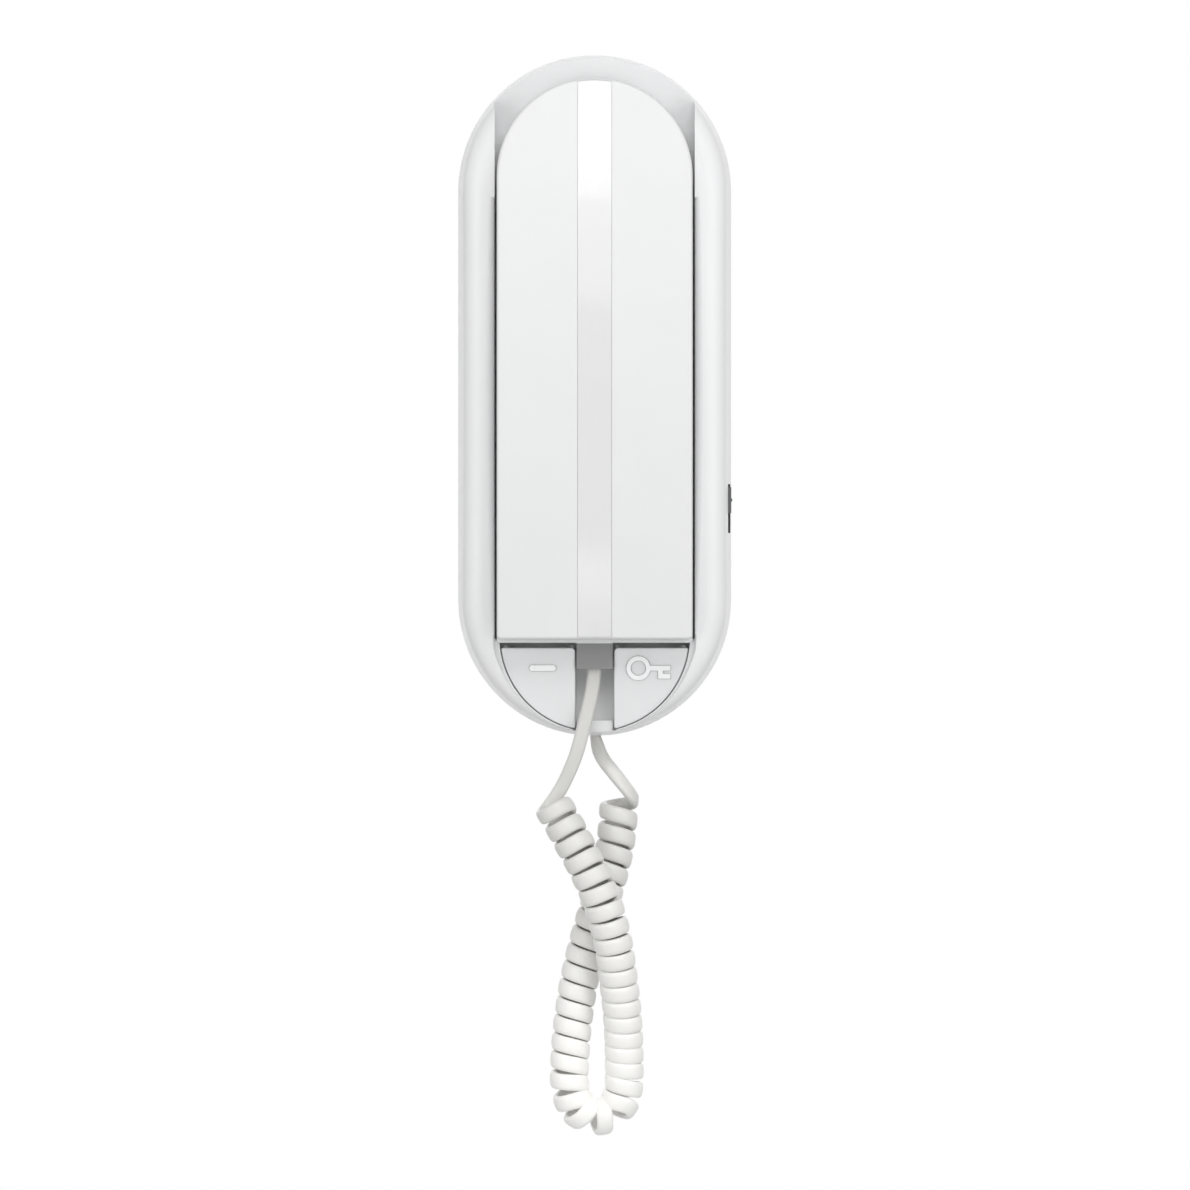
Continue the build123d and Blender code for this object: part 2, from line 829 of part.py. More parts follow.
with BuildPart() as volume_knob:
    add(block(knob_inner_x, knob_reach, knob_top - knob_length, knob_top,
              slot_near + knob_side_gap, slot_far - knob_side_gap))
    add(block(knob_foot_x, knob_inner_x, knob_middle - knob_arm_width / 2, knob_middle + knob_arm_width / 2,
              knob_arm_depth, knob_arm_depth + knob_arm_thickness))
    add(block(knob_foot_x, knob_foot_x + knob_foot, knob_middle - knob_foot_width / 2,
              knob_middle + knob_foot_width / 2, volume_far - volume_groove + loose_gap,
              knob_arm_depth + knob_arm_thickness / 2))
    add(block(knob_reach - knob_ridge, knob_reach + knob_ridge, knob_middle - knob_ridge_width / 2,
              knob_middle + knob_ridge_width / 2,
              slot_near + 2 * knob_side_gap, slot_far - 2 * knob_side_gap))

# Cover screws
with BuildPart() as cover_screws:
    for z in (post_upper_z, post_lower_z):
        seat = channel_floor - cover_screw_seat
        add(disc(0, z, cover_screw_head, seat, seat + cover_screw_head_height))
        add(disc(0, z, cover_screw_radius, seat - cover_screw_length, seat))
        add(block(-cover_screw_head, cover_screw_head, z - driver_slot / 2, z + driver_slot / 2,
                  seat + cover_screw_head_height / 2, far_depth), mode=Mode.SUBTRACT)


# Plugs and sockets of the cord
def cord_plug(bottom, depth):
    """Small flat plug on the end of the cord."""
    with BuildPart() as made:
        add(block(-plug_half, plug_half, bottom, bottom + plug_length,
                  depth - plug_thickness / 2, depth + plug_thickness / 2))
        chamfer(made.edges().filter_by(Axis.Z), edge_round)
    return made.part


def cord_socket(bottom, plug_bottom, depth, near):
    """Socket round the inner end of a plug."""
    half = plug_half + plug_gap + socket_wall
    top = plug_bottom + plug_length + socket_back
    thick = plug_thickness / 2 + plug_gap
    with BuildPart() as made:
        add(block(-half, half, bottom, top, near, depth + thick + socket_wall))
        add(
            block(-plug_half - plug_gap, plug_half + plug_gap,
                  bottom - overrun, plug_bottom + plug_length + plug_gap, depth - thick, depth + thick),
            mode=Mode.SUBTRACT,
        )
    return made.part


handset_plug_bottom = tongue_bottom + plug_setback
rear_shell_low = handset_bottom - rear_lip
with BuildPart() as base_cord_plug:
    add(cord_plug(base_plug_bottom, base_exit_depth))
with BuildPart() as handset_cord_plug:
    add(cord_plug(handset_plug_bottom, handset_exit_depth))
with BuildPart() as base_cord_socket:
    add(cord_socket(rim_inner_bottom + 2 * loose_gap, base_plug_bottom, base_exit_depth, floor_top))
with BuildPart() as handset_cord_socket:
    add(cord_socket(rear_shell_low + handset_skin + loose_gap, handset_plug_bottom, handset_exit_depth,
                    rest_depth + handset_skin + loose_gap))

# Handset shells
front_rear = parting_depth + parting_gap
screw_pad_far = rest_depth + handset_screw_head + handset_screw_seat
strip_floor = strip_recess + strip_thickness


def strip_outline(gap):
    """Front view of the centre strip."""
    with BuildSketch() as outline:
        add(grown(handset_outline(0), -edge_round + gap))
        Rectangle(strip_width + 2 * gap, base_height, mode=Mode.INTERSECT)
    return outline.sketch


with BuildPart() as handset_front_shell:
    add(shaped_slab(handset_outline(0), handset_front_side(), front_rear, far_depth))
    face_edges = handset_front_shell.edges().filter_by(
        lambda e: e.center().Y < -(handset_front_top - front_edge_round * 2)
    )
    fillet(face_edges, front_edge_round)
    inside = shaped_slab(
        grown(handset_outline(0), -handset_skin), grown(handset_front_side(), -handset_skin), 0, far_depth
    )
    add(inside, mode=Mode.SUBTRACT)
    # Groove of the centre strip
    groove = slab(strip_outline(running_gap), front_rear, far_depth) - shaped_slab(
        strip_outline(running_gap), grown(handset_front_side(), -strip_floor), 0, far_depth
    )
    add(groove, mode=Mode.SUBTRACT)
    # Bosses of the handset screws
    for x in (-handset_screw_x, handset_screw_x):
        with BuildSketch() as boss_outline:
            with Locations((x, handset_screw_z)):
                Circle(handset_boss_radius)
        add(
            shaped_slab(boss_outline.sketch, grown(handset_front_side(), -handset_skin / 2),
                        screw_pad_far, far_depth)
        )
        add(
            disc(x, handset_screw_z, handset_screw_radius + running_gap,
                 0, handset_front_bottom - 2 * handset_skin),
            mode=Mode.SUBTRACT,
        )

with BuildPart() as handset_centre_strip:
    add(shaped_slab(strip_outline(0), grown(handset_front_side(), -strip_recess), front_rear, far_depth))
    add(shaped_slab(strip_outline(running_gap), grown(handset_front_side(), -strip_floor), 0, far_depth),
        mode=Mode.SUBTRACT)

inner_floor = rest_depth + handset_skin
with BuildPart() as handset_rear_shell:
    add(shaped_slab(handset_outline(rear_lip), handset_rear_side(), 0, parting_depth))
    add(
        shaped_slab(grown(handset_outline(rear_lip), -handset_skin),
                    grown(handset_rear_side(), -handset_skin), 0, far_depth),
        mode=Mode.SUBTRACT,
    )
    # Cup of the earpiece and boot of the microphone stand on the inner floor
    add(
        disc(0, ear_z, ear_radius + running_gap + cup_wall,
             inner_floor - handset_skin / 2, inner_floor + cup_height)
    )
    add(disc(0, ear_z, ear_radius + running_gap, inner_floor, far_depth), mode=Mode.SUBTRACT)
    # Outlet of the cord
    add(
        block(-tongue_half, tongue_half, tongue_bottom, rear_shell_low + handset_skin / 2,
              tongue_rear, tongue_front)
    )
    add(
        block(-plug_half - plug_gap, plug_half + plug_gap,
              tongue_bottom - overrun, rear_shell_low + 2 * handset_skin,
              handset_exit_depth - plug_thickness / 2 - plug_gap,
              handset_exit_depth + plug_thickness / 2 + plug_gap),
        mode=Mode.SUBTRACT,
    )
    # Pads of the handset screws
    for x in (-handset_screw_x, handset_screw_x):
        add(disc(x, handset_screw_z, handset_screw_head + handset_skin, rest_depth, screw_pad_far))
        add(disc(x, handset_screw_z, handset_screw_radius + running_gap, 0, far_depth), mode=Mode.SUBTRACT)
        add(disc(x, handset_screw_z, handset_screw_head + running_gap, 0, rest_depth + handset_screw_head),
            mode=Mode.SUBTRACT)
    # Sound holes of the earpiece in two rings, and of the microphone
    with BuildSketch(at_depth(0)):
        with Locations((0, ear_z)):
            Circle(ear_hole_radius)
            with PolarLocations(ear_radius / 4, 6):
                Circle(ear_hole_radius)
            with PolarLocations(ear_radius / 2, 12):
                Circle(ear_hole_radius)
        with Locations((0, mouth_z)):
            with GridLocations(mic_radius / 2, 0, 3, 1):
                Circle(ear_hole_radius)
    extrude(amount=inner_floor + overrun, mode=Mode.SUBTRACT)

# Earpiece, microphone and ballast
with BuildPart() as earpiece_gasket:
    add(disc(0, ear_z, ear_radius, inner_floor, inner_floor + gasket_height))
    add(disc(0, ear_z, ear_radius - gasket_width, 0, far_depth), mode=Mode.SUBTRACT)

speaker_near = inner_floor + gasket_height
with BuildPart() as earpiece_speaker:
    add(disc(0, ear_z, ear_radius, speaker_near, speaker_near + ear_height))
    add(disc(0, ear_z, ear_magnet_radius, speaker_near, speaker_near + ear_height + ear_magnet_height))

with BuildPart() as microphone_boot:
    add(disc(0, mouth_z, mic_radius + running_gap + boot_wall, inner_floor, inner_floor + boot_height))
    add(disc(0, mouth_z, mic_radius + running_gap, 0, far_depth), mode=Mode.SUBTRACT)

with BuildPart() as microphone_capsule:
    add(disc(0, mouth_z, mic_radius, inner_floor, inner_floor + mic_height))

grip_floor = grip_depth + handset_skin
with BuildPart() as ballast_bar:
    add(
        block(-ballast_half, ballast_half, ballast_bottom, ballast_top,
              grip_floor, grip_floor + ballast_thickness)
    )
    chamfer(ballast_bar.edges().filter_by(Axis.Y), edge_round)

with BuildPart() as handset_screws:
    for x in (-handset_screw_x, handset_screw_x):
        head_near = rest_depth + loose_gap
        head_far = rest_depth + handset_screw_head
        add(disc(x, handset_screw_z, handset_screw_head, head_near, head_far))
        add(
            disc(x, handset_screw_z, handset_screw_radius, head_near, screw_pad_far + 3 * handset_screw_head)
        )
        add(block(x - handset_screw_head, x + handset_screw_head, handset_screw_z - driver_slot / 2,
                  handset_screw_z + driver_slot / 2, 0, head_near + handset_screw_head / 4),
            mode=Mode.SUBTRACT)


# Cord
def place(point):
    """Point of a route, given as (x, depth, z)."""
    x, depth, z = point
    return Vector(x, -depth, z)


def axis_samples(route):
    """Points along a smooth line that is drawn by its route: parabolas between the middles of the runs."""
    control = [place(point) for point in route]
    joints = [control[0]] + [(a + b) / 2 for a, b in zip(control[1:-2], control[2:-1])] + [control[-1]]
    line = []
    for start, pull, end in zip(joints, control[1:-1], joints[1:]):
        for step in range(samples_per_span):
            t = step / samples_per_span
            line.append(start * (1 - t) ** 2 + pull * 2 * t * (1 - t) + end * t**2)
    return line + [joints[-1]]


def share_value(table, place_share):
    """Value at a place in a table of (place, value), with straight lines between its rows."""
    for (low, first), (high, last) in zip(table, table[1:]):
        if place_share <= high:
            return first + (last - first) * (place_share - low) / (high - low)
    return table[-1][1]


def curl_points():
    """Places and directions along the curls, one at each quarter turn."""
    line = axis_samples(curl_axis_route)
    travelled = [0.0]
    for a, b in zip(line, line[1:]):
        travelled.append(travelled[-1] + (b - a).length)
    total = travelled[-1]
    wound = [0.0]
    for near, far in zip(travelled, travelled[1:]):
        middle_share = (near + far) / 2 / total
        wound.append(wound[-1] + (far - near) / share_value(curl_pitch_shares, middle_share))
    turns = [curl_count * value / wound[-1] for value in wound]
    mean_radius = (curl_outer - cord_diameter) / 2

    def at_turn(turn):
        turn = min(max(turn, 0), curl_count)
        low = 0
        high = len(turns) - 1
        while high - low > 1:
            middle = (low + high) // 2
            low, high = (middle, high) if turns[middle] <= turn else (low, middle)
        share = (turn - turns[low]) / (turns[high] - turns[low])
        centre = line[low] + (line[high] - line[low]) * share
        ahead = (line[min(high + 1, len(line) - 1)] - line[max(low - 1, 0)]).normalized()
        across = ahead.cross(Vector(0, 1, 0)).normalized()
        up = across.cross(ahead)
        angle = 2 * pi * turn + radians(curl_first_angle)
        return centre + (across * cos(angle) + up * sin(angle)) * mean_radius

    step = 1 / arcs_per_turn / 50
    places = []
    for index in range(int(curl_count * arcs_per_turn) + 1):
        turn = index / arcs_per_turn
        direction = at_turn(turn + step) - at_turn(turn - step)
        places.append((at_turn(turn), direction.normalized()))
    return places


def curl_arcs(places):
    """Pairs of tangent arcs through the places, as (start, end, direction at the start)."""
    arcs = []
    for (start, leave), (end, arrive) in zip(places, places[1:]):
        chord = end - start
        both = leave + arrive
        turn = 2 * (1 - leave.dot(arrive))
        along = chord.dot(both)
        reach = (sqrt(along * along + turn * chord.dot(chord)) - along) / turn
        pull_first = start + leave * reach
        pull_last = end - arrive * reach
        joint = (pull_first + pull_last) / 2
        arcs.append((start, joint, leave))
        arcs.append((joint, end, (pull_last - pull_first).normalized()))
    return arcs


def least_gap(arcs):
    """Least clear space between stretches of the curls that aren't neighbours."""
    points = []
    for start, end, direction in arcs:
        arc = Edge.make_tangent_arc(start, direction, end)
        points += [arc.position_at(share / 4) for share in range(4)]
    run = 0.0
    places = []
    for index, point in enumerate(points):
        if index:
            run += (point - points[index - 1]).length
        places.append((point, run))
    nearest = curl_outer
    apart = pi * cord_diameter
    cells = {}
    for point, at in places:
        key_cell = (int(point.X // curl_outer), int(point.Y // curl_outer), int(point.Z // curl_outer))
        cells.setdefault(key_cell, []).append((point, at))
    for (i, j, k), members in cells.items():
        around = []
        for di in (-1, 0, 1):
            for dj in (-1, 0, 1):
                for dk in (-1, 0, 1):
                    around += cells.get((i + di, j + dj, k + dk), [])
        for point, at in members:
            for other, there in around:
                if there - at > apart:
                    nearest = min(nearest, (other - point).length)
    return nearest - cord_diameter


def tube(path):
    """Round tube along a path."""
    with BuildPart() as made:
        with BuildSketch(Plane(origin=path @ 0, z_dir=path % 0)):
            Circle(cord_diameter / 2)
        sweep(path=path)
    return made.part


def route_radii(points):
    """Radius of the bend at each inner point of a route."""
    radii = []
    for before, at, after in zip(points, points[1:], points[2:]):
        turn = radians((at - before).get_angle(after - at))
        shorter = min((at - before).length, (after - at).length)
        radii.append(0.45 * shorter / tan(turn / 2))
    return radii


def lead(points, name):
    """Plain stretch of the cord along straight runs with large bends between them."""
    radii = route_radii(points)
    print(f"{name} bend radii", [round(radius, 1) for radius in radii])
    with BuildLine() as path:
        FilletPolyline(*points, radius=radii)
    made = tube(path.wire())
    expected = path.wire().length * pi * cord_diameter**2 / 4
    print(f"{name} length {path.wire().length:.1f}, volume {made.volume:.1f} of {expected:.1f}")
    return made


places = curl_points()
arcs = curl_arcs(places)
curl_start = places[0][0] - places[0][1] * cord_diameter
curl_end = places[-1][0] + places[-1][1] * cord_diameter
print(f"least gap between the curls {least_gap(arcs):.2f}")

with BuildPart() as cord_coil:
    with BuildLine() as curl_path:
        Line(curl_start, places[0][0])
        for start, end, direction in arcs:
            TangentArc(start, end, tangent=direction)
        Line(places[-1][0], curl_end)
    with BuildSketch(Plane(origin=curl_start, z_dir=places[0][1])):
        Circle(cord_diameter / 2)
    sweep(path=curl_path.wire())
curl_length = curl_path.wire().length
print(f"curls length {curl_length:.1f}, volume {cord_coil.part.volume:.1f}")
print(f"expected volume {curl_length * pi * cord_diameter**2 / 4:.1f}")

with BuildPart() as cord_lead_handset:
    curl_approach = curl_start - places[0][1] * lead_end_run
    add(lead([place(point) for point in handset_lead_route] + [curl_approach, curl_start], "handset lead"))
with BuildPart() as cord_lead_base:
    curl_approach = curl_end + places[-1][1] * lead_end_run
    add(lead([place(point) for point in base_lead_route] + [curl_approach, curl_end], "base lead"))

pieces = {
    "rear_base": rear_base,
    "front_cover": front_cover,
    "circuit_board": circuit_board,
    "terminal_block": terminal_block,
    "terminal_screws": terminal_screws,
    "jumper_header": jumper_header,
    "ringer_speaker": ringer_speaker,
    "hook_switch": hook_switch,
    "hook_plunger": hook_plunger,
    "hook_leaf": hook_leaf,
    "light_button": light_button,
    "door_button": door_button,
    "light_tact_switch": light_tact_switch,
    "door_tact_switch": door_tact_switch,
    "light_tact_plunger": light_tact_plunger,
    "door_tact_plunger": door_tact_plunger,
    "volume_switch": volume_switch,
    "volume_knob": volume_knob,
    "cover_screws": cover_screws,
    "base_cord_socket": base_cord_socket,
    "base_cord_plug": base_cord_plug,
    "handset_front_shell": handset_front_shell,
    "handset_centre_strip": handset_centre_strip,
    "handset_rear_shell": handset_rear_shell,
    "earpiece_speaker": earpiece_speaker,
    "earpiece_gasket": earpiece_gasket,
    "microphone_capsule": microphone_capsule,
    "microphone_boot": microphone_boot,
    "ballast_bar": ballast_bar,
    "handset_screws": handset_screws,
    "handset_cord_socket": handset_cord_socket,
    "handset_cord_plug": handset_cord_plug,
    "cord_lead_handset": cord_lead_handset,
    "cord_coil": cord_coil,
    "cord_lead_base": cord_lead_base,
}

os.makedirs("parts", exist_ok=True)
for name, piece in pieces.items():
    piece.part.label = name
    export_step(piece.part, f"parts/{name}.step")
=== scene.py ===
from math import acos, atan2, cos, pi, radians, sin, sqrt, tan

import bmesh
import bpy
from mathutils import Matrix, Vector
from mathutils.bvhtree import BVHTree


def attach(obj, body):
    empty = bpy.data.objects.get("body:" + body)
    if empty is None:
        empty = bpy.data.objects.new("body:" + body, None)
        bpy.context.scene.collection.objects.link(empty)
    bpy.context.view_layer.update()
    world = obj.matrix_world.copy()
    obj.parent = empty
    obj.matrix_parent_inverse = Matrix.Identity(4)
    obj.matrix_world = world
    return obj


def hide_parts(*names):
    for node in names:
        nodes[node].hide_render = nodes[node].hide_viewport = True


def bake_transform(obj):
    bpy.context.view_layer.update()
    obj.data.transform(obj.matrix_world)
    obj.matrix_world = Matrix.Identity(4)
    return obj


# Wall-mounted audio intercom handset on its base, joined by a curly cord.
# Metres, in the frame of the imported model: X to the viewer's right, Z up, wall at Y = 0, viewer at -Y.

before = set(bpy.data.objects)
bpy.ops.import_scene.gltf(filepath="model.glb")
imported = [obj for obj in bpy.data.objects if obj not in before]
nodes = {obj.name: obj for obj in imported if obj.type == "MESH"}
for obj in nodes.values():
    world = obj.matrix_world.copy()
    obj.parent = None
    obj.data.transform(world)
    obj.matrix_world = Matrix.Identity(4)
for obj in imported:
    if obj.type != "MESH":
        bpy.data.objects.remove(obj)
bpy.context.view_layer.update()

mm = 0.001

# Camera, level with the middle of the photograph's frame
picture_width = 357 * mm     # what the frame's width shows at the plane
picture_plane = -20 * mm     # Y of that plane
camera_distance = 8.0
camera_x = 0.1 * mm
camera_z = -59.9 * mm


def make_camera():
    """Long lens, square to the wall."""
    data = bpy.data.cameras.new("camera")
    data.lens = data.sensor_width * camera_distance / picture_width
    camera = bpy.data.objects.new("camera", data)
    camera.location = (camera_x, picture_plane - camera_distance, camera_z)
    camera.rotation_euler = (radians(90), 0, 0)
    bpy.context.scene.collection.objects.link(camera)
    bpy.context.scene.camera = camera


# Cord: a flat cable, curled
cord_width = 4.9 * mm
cord_thickness = 2.5 * mm
cord_squareness = 2.8        # 2 would be an oval, more is nearer to a flat band with round edges
cord_sides = 20
cord_sharp_angle = 40
cord_route_order = 3         # each stretch of a route follows three of its points
lead_width_share = 0.86      # the leads are a little narrower than the curls
curl_radius = 4.65 * mm      # centreline of the flat cable round the axis
curl_count = 38.3
curl_first_angle = 90.0      # degrees, from the curls' right side towards the wall
rings_per_turn = 48
lead_end_run = 4.0 * mm
axis_resolution = 24
lead_resolution = 14
merge_gap = 0.01 * mm

# Pitch along the axis: places as shares of its length, pitches as shares of the mean
curl_pitch_shares = [
    (0.0, 1.15), (0.04, 1.05), (0.14, 1.0), (0.3, 0.92), (0.42, 0.9), (0.47, 1.05), (0.5, 1.15),
    (0.53, 1.0), (0.57, 1.1), (0.61, 1.0), (0.9, 1.0), (0.95, 1.05), (1.0, 1.25)
]
# How far the curls lean from square to the axis: places as shares of its length, leans in degrees
curl_lean_shares = [
    (0.0, -14.0), (0.2, -12.0), (0.3, -8.0), (0.42, -4.0), (0.46, 0.0), (0.485, -24.0), (0.51, 12.0),
    (0.54, -22.0), (0.57, 8.0), (0.62, 0.0), (0.8, 6.0), (0.93, 6.0), (1.0, 0.0)
]

# Routes as (x, depth, z) in millimetres: lead from the handset, axis of the curls, lead to the base
handset_lead_route = [
    (0.0, 23.5, -81.7), (-0.5, 23.7, -87.5), (-2.1, 24.4, -94.5), (-3.9, 24.4, -102.0), (-6.0, 23.3, -109.5)
]
curl_axis_route = [
    (-13.1, 24.8, -122.0), (-11.6, 25.0, -124.6), (-9.6, 25.2, -128.0), (-6.7, 25.6, -133.4),
    (-3.0, 25.9, -140.0), (0.4, 25.8, -147.0), (3.4, 24.8, -155.0), (5.7, 22.2, -164.5),
    (7.2, 18.6, -175.5), (8.5, 14.6, -187.0), (8.9, 10.9, -198.5), (8.9, 8.6, -210.4), (4.3, 7.6, -216.4),
    (-2.9, 7.2, -216.4), (-7.6, 7.1, -210.4), (-7.6, 7.1, -199.5), (-6.6, 7.3, -187.5),
    (-4.6, 7.8, -175.0), (-1.6, 8.4, -162.5), (2.4, 9.0, -150.0), (5.4, 9.2, -139.5), (7.0, 8.8, -129.8),
    (7.4, 8.4, -121.0)
]
base_lead_route = [(0.0, 8.5, -101.2), (0.6, 8.8, -104.6), (2.2, 10.0, -109.0), (6.0, 12.2, -113.6)]
# Broad face of the base lead along its way from the curls: places as shares, directions in x, y and z
base_lead_faces = [
    (0.0, None), (0.35, (0.3, -0.95, 0.1)), (0.65, (0.1, -1.0, 0.0)), (1.0, (-1.0, -0.25, 0.0))
]


def place(point):
    """Point of a route or a section, given as x, depth and z in millimetres."""
    x, depth, z = point
    return Vector((x, -depth, z)) * mm


def spline_points(route, resolution):
    """Points along the smooth line that the route's points pull."""
    curve = bpy.data.curves.new("route", "CURVE")
    curve.dimensions = "3D"
    curve.resolution_u = resolution
    spline = curve.splines.new("NURBS")
    spline.points.add(len(route) - 1)
    for control, at in zip(spline.points, route):
        control.co = (*at, 1)
    spline.order_u = cord_route_order
    spline.use_endpoint_u = True
    holder = bpy.data.objects.new("route", curve)
    mesh = bpy.data.meshes.new_from_object(holder)
    line = [vertex.co.copy() for vertex in mesh.vertices]
    bpy.data.objects.remove(holder)
    bpy.data.curves.remove(curve)
    bpy.data.meshes.remove(mesh)
    return line


def share_value(table, place_share):
    """Value at a place in a table of (place, value), with straight lines between its rows."""
    for (low, first), (high, last) in zip(table, table[1:]):
        if place_share <= high:
            return first + (last - first) * (place_share - low) / (high - low)
    return table[-1][1]


def line_length(line):
    """Length of a line of points."""
    return sum((b - a).length for a, b in zip(line, line[1:]))


def curl_line():
    """Centreline of the curls and the outward direction at each of its points."""
    line = spline_points([place(point) for point in curl_axis_route], axis_resolution)
    total = line_length(line)
    travelled = 0.0
    wound = [0.0]
    for a, b in zip(line, line[1:]):
        step = (b - a).length
        wound.append(wound[-1] + step / share_value(curl_pitch_shares, (travelled + step / 2) / total))
        travelled += step
    turns = [curl_count * value / wound[-1] for value in wound]
    points = []
    outwards = []
    low = 0
    for index in range(round(curl_count * rings_per_turn) + 1):
        turn = min(index / rings_per_turn, curl_count)
        while low < len(turns) - 2 and turns[low + 1] <= turn:
            low += 1
        share = (turn - turns[low]) / (turns[low + 1] - turns[low])
        centre = line[low].lerp(line[low + 1], share)
        behind = line[max(low - 1, 0)].lerp(line[low], share)
        front = line[low + 1].lerp(line[min(low + 2, len(line) - 1)], share)
        ahead = (front - behind).normalized()
        across = ahead.cross(Vector((0, 1, 0))).normalized()
        up = across.cross(ahead)
        angle = 2 * pi * turn + radians(curl_first_angle)
        outward = across * cos(angle) + up * sin(angle)
        lean = tan(radians(share_value(curl_lean_shares, turn / curl_count)))
        tipped = outward + ahead * lean * across.x * across.dot(outward)
        points.append(centre + tipped * curl_radius)
        outwards.append(outward)
    return points, outwards


def flat_section():
    """Rounded section of the flat cable, as (across, out) pairs."""
    section = []
    power = 2 / cord_squareness
    for side in range(cord_sides):
        angle = 2 * pi * side / cord_sides
        across = abs(cos(angle)) ** power * cord_width / 2
        out = abs(sin(angle)) ** power * cord_thickness / 2
        section.append((across if cos(angle) > 0 else -across, out if sin(angle) > 0 else -out))
    return section


def mesh_object(name, bm, sharp_angle):
    """Object of a bmesh, faces outwards, smooth but where faces meet at more than the angle."""
    # Moved vertices leave the faces' normals as they were, and the recalculation starts from those
    bm.normal_update()
    bmesh.ops.recalc_face_normals(bm, faces=bm.faces)
    mesh = bpy.data.meshes.new(name)
    bm.to_mesh(mesh)
    bm.free()
    mesh.shade_smooth()
    mesh.set_sharp_from_angle(angle=radians(sharp_angle))
    made = bpy.data.objects.new(name, mesh)
    bpy.context.scene.collection.objects.link(made)
    return made


def skinned(name, sections, sharp_angle):
    """Closed skin over sections of as many points each: a grid that is rolled up and capped."""
    last = len(sections) - 1
    points = len(sections[0])
    bm = bmesh.new()
    bmesh.ops.create_grid(bm, x_segments=last, y_segments=points, size=1)
    for vertex in bm.verts:
        along = round((vertex.co.x + 1) / 2 * last)
        around = round((vertex.co.y + 1) / 2 * points) % points
        vertex.co = sections[along][around]
    bmesh.ops.remove_doubles(bm, verts=bm.verts, dist=merge_gap)
    bmesh.ops.holes_fill(bm, edges=bm.edges)
    return mesh_object(name, bm, sharp_angle)


def strand(name, line, outwards, widths):
    """Flat cable along a line, its broad face turned outwards."""
    cable = flat_section()
    sections = []
    for ring, centre in enumerate(line):
        ahead = (line[min(ring + 1, len(line) - 1)] - line[max(ring - 1, 0)]).normalized()
        side = ahead.cross(outwards[ring]).normalized()
        up = side.cross(ahead)
        sections.append([centre + side * across * widths[ring] + up * out for across, out in cable])
    return skinned(name, sections, cord_sharp_angle)


def turned(keys, share):
    """Direction at a share of the way, from (share, direction) pairs."""
    for (low, first), (high, last) in zip(keys, keys[1:]):
        if share <= high:
            return first.normalized().slerp(last.normalized(), (share - low) / (high - low))
    return keys[-1][1].normalized()


def eased(share):
    """Share that starts and ends its way gently."""
    share = min(max(share, 0.0), 1.0)
    return share * share * (3 - 2 * share)


def make_cords():
    """Lead that leaves the handset, and the curls with the lead that goes into the base."""
    curls, outwards = curl_line()
    start_ahead = (curls[1] - curls[0]).normalized()
    end_ahead = (curls[-1] - curls[-2]).normalized()
    handset_route = [place(point) for point in handset_lead_route]
    handset_route += [curls[0] - start_ahead * lead_end_run, curls[0]]
    handset_line = spline_points(handset_route, lead_resolution)
    wallwards = Vector((0, 1, 0))
    keys = [(0.0, wallwards), (1.0, outwards[0])]
    handset_outs = [turned(keys, index / (len(handset_line) - 1)) for index in range(len(handset_line))]
    base_route = [curls[-1], curls[-1] + end_ahead * lead_end_run]
    base_route += [place(point) for point in reversed(base_lead_route)]
    base_line = spline_points(base_route, lead_resolution)
    keys = [(share, Vector(face) if face else outwards[-1]) for share, face in base_lead_faces]
    base_outs = [turned(keys, index / (len(base_line) - 1)) for index in range(len(base_line))]
    widths = []
    for index in range(len(curls)):
        from_end = min(index, len(curls) - 1 - index) / rings_per_turn
        widths.append(lead_width_share + (1 - lead_width_share) * eased(from_end))
    lead = strand("cord_from_handset", handset_line, handset_outs, [lead_width_share] * len(handset_line))
    lead.data.materials.append(cord_white)
    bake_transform(lead)
    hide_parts("cord_lead_handset")
    whole_line = curls + base_line[1:]
    widths += [lead_width_share] * (len(base_line) - 1)
    coil = strand("curly_cord", whole_line, outwards + base_outs[1:], widths)
    coil.data.materials.append(cord_white)
    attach(coil, "base")
    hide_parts("cord_coil", "cord_lead_base")
    print(f"cord: lead {line_length(handset_line) / mm:.1f} mm, rest {line_length(whole_line) / mm:.1f} mm")


# Signs on the keys, in millimetres. The keys' face falls back along an arc, here as (depth, z) at its
# top, middle and bottom
key_face_arc = [(26.5, -75.75), (24.4, -88.175), (20.4, -100.6)]
sign_z = -81.8
sign_rise = 0.5              # above the face
sign_sink = 0.7              # into the face
sign_bevel = 0.22
sign_bevel_steps = 2
sign_spread = 0.12           # outside the moulded relief that it finishes
sign_merge_gap = 0.005
sign_sharp_angle = 35
dash_x = -15.6
dash_length = 8.0
dash_width = 1.7
ring_x = 13.1
ring_outer = 3.6
ring_inner = 2.3
shaft_end_x = 22.7
shaft_width = 1.4
tooth_x = 19.0
tooth_z = -84.2
circle_steps = 48


def arc_frame(arc, z):
    """Depth of a face at a height, and the angle that it leans by. Its arc is three (depth, z) points."""
    (a, b), (c, d), (e, f) = arc
    turn = 2 * (a * (d - f) + c * (f - b) + e * (b - d))
    first, second, third = a * a + b * b, c * c + d * d, e * e + f * f
    centre_depth = (first * (d - f) + second * (f - b) + third * (b - d)) / turn
    centre_z = (first * (e - c) + second * (a - e) + third * (c - a)) / turn
    radius = sqrt((a - centre_depth) ** 2 + (b - centre_z) ** 2)
    depth = centre_depth + sqrt(radius * radius - (z - centre_z) ** 2)
    return depth, atan2(z - centre_z, depth - centre_depth)


